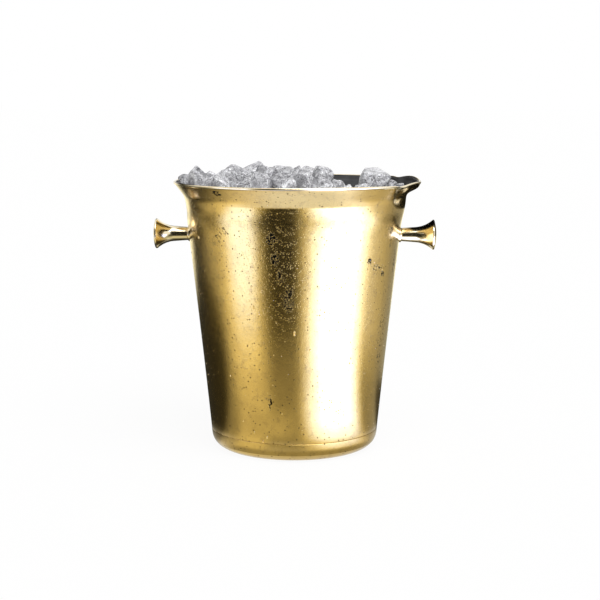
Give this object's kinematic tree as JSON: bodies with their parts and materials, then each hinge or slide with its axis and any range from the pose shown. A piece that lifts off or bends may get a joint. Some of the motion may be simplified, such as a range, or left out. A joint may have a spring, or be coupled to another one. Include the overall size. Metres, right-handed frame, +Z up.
{
  "type": "ice bucket",
  "caption": "Tapered brass ice bucket with a flared rim, a pressed pour lip and a turned trumpet knob on each side.",
  "frame": {"origin": "centre of the base, on the surface that the bucket stands on", "axes": "+Z up the bucket's axis; +X through the handle knob that lies under the pour lip; the other knob is on -X"},
  "size_m": [0.245, 0.2082, 0.2347],
  "materials": {
    "brass_body": "aged, finely brushed",
    "brass_polished": "polished",
    "steel": "plain",
    "seal": "matt"
  },
  "bodies": {
    "root": {"bucket_wall": "brass_body", "base_pan": "brass_body", "knob_right": "brass_polished", "knob_left": "brass_polished", "knob_collar_right": "brass_polished", "knob_collar_left": "brass_polished", "knob_gasket_right": "seal", "knob_gasket_left": "seal", "knob_washers": "steel", "knob_screws": "steel"}
  },
  "joints": []
}
